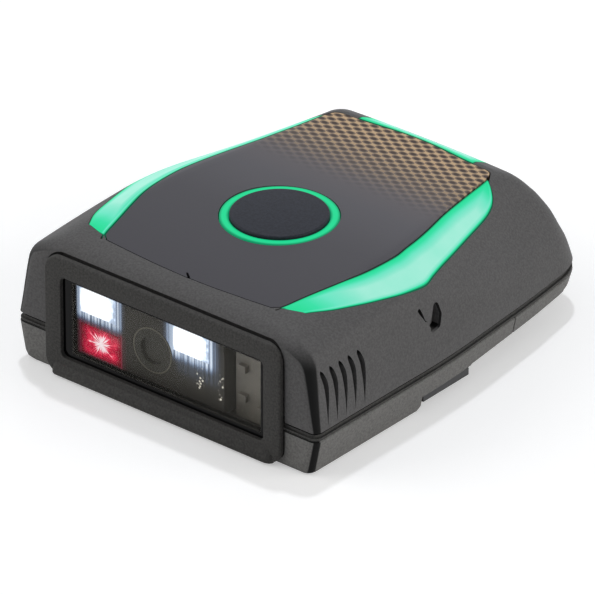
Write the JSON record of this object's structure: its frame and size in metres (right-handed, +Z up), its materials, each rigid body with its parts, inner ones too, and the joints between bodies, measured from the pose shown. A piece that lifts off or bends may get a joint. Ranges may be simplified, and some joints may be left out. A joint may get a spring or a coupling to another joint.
{
  "type": "wearable barcode scanner",
  "caption": "Small wearable barcode scanner: black body with rounded rear, thumb button in a green light ring, curved green light guides and a front scan window with lit lamps.",
  "frame": {"origin": "middle of the body's width and length, on the flat face it rests on", "axes": "+X to the right seen from in front of the scan window, +Y from the scan window to the rear end, +Z up through the button"},
  "size_m": [0.05, 0.06, 0.02],
  "materials": {
    "housing_plastic": "fine spark texture",
    "black_rubber": "matt",
    "printed_panel": "satin printed film",
    "green_guide": "frosted, lit",
    "button_plastic": "fine texture",
    "spring_steel": "plain",
    "white_plastic": "plain",
    "bezel_rubber": "satin",
    "window_glass": "coated",
    "black_plastic": "plain",
    "circuit_board": "solder mask",
    "lamp": "lit",
    "clear_lens": "clear",
    "red_lamp": "lit",
    "red_lens": "tinted",
    "camera_glass": "coated",
    "chip": "plain",
    "amber_board": "solder mask",
    "flex_film": "polyimide film",
    "battery_wrap": "shrink wrap",
    "gold_contact": "plated",
    "latch_steel": "black coat"
  },
  "bodies": {
    "button": {"scan_button": "button_plastic", "switch_plunger": "button_plastic"},
    "body": {"upper_housing": "housing_plastic", "lower_housing": "housing_plastic", "battery_door": "housing_plastic", "seam_gasket": "black_rubber", "top_panel": "printed_panel", "light_guide_left": "green_guide", "light_guide_right": "green_guide", "light_guide_rear": "green_guide", "light_ring": "green_guide", "button_seal": "black_rubber", "button_spring": "spring_steel", "tactile_switch": "white_plastic", "bezel_upper": "bezel_rubber", "bezel_lower": "bezel_rubber", "scan_window": "window_glass", "window_gasket": "black_rubber", "engine_chassis": "black_plastic", "engine_board": "circuit_board", "white_lamp_outer": "lamp", "white_lamp_inner": "lamp", "lamp_lens_outer": "clear_lens", "lamp_lens_inner": "clear_lens", "aiming_lamp": "red_lamp", "aiming_lens": "red_lens", "camera_barrel": "black_plastic", "camera_lens": "camera_glass", "image_sensor": "chip", "side_board": "amber_board", "engine_flex": "flex_film", "main_board": "circuit_board", "processor": "chip", "radio_shield": "spring_steel", "antenna": "white_plastic", "guide_lamps": "lamp", "beeper": "black_plastic", "vibration_motor": "spring_steel", "battery_pack": "battery_wrap", "battery_contacts": "gold_contact", "foam_pad": "black_rubber", "contact_board": "circuit_board", "contact_pads": "gold_contact", "latch_plate": "latch_steel", "latch_screws": "spring_steel", "case_screws": "spring_steel", "board_screws": "spring_steel"}
  },
  "joints": [
    {"name": "button_press", "type": "slide", "parent": "body", "child": "button", "axis": [0, 0, 1], "range_m": [-0.0006, 0], "stiffness_N_per_m": 1500}
  ]
}
